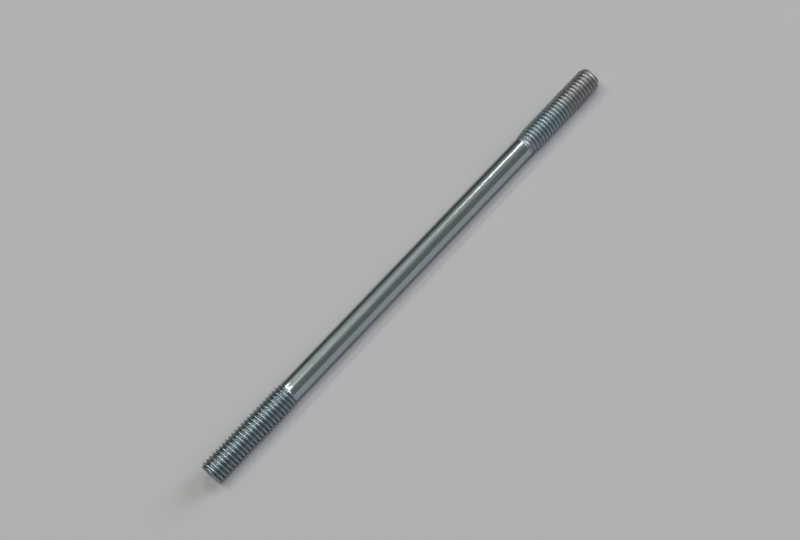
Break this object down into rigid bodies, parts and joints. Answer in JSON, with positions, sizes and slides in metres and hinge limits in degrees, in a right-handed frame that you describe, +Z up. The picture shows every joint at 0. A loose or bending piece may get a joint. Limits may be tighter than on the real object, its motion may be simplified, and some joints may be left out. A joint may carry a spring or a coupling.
{
  "type": "cylinder stud",
  "caption": "Straight steel stud for an engine cylinder: a plain round shank with a thread rolled on at each end, one point chamfered and the other rounded.",
  "frame": {"origin": "under the middle of the bar, at the height of the lowest thread crests, where the stud rests on a surface", "axes": "+X along the bar, from the chamfered crankcase end to the rounded nut end; +Z up as the stud lies"},
  "size_m": [0.1324, 0.006, 0.006],
  "materials": {
    "zinc_plate": "bright zinc plating with a thin blue-green passivation, faint lengthwise drawing lines and a smooth, glossy thread"
  },
  "bodies": {
    "root": {"stud": "zinc_plate"}
  },
  "joints": []
}
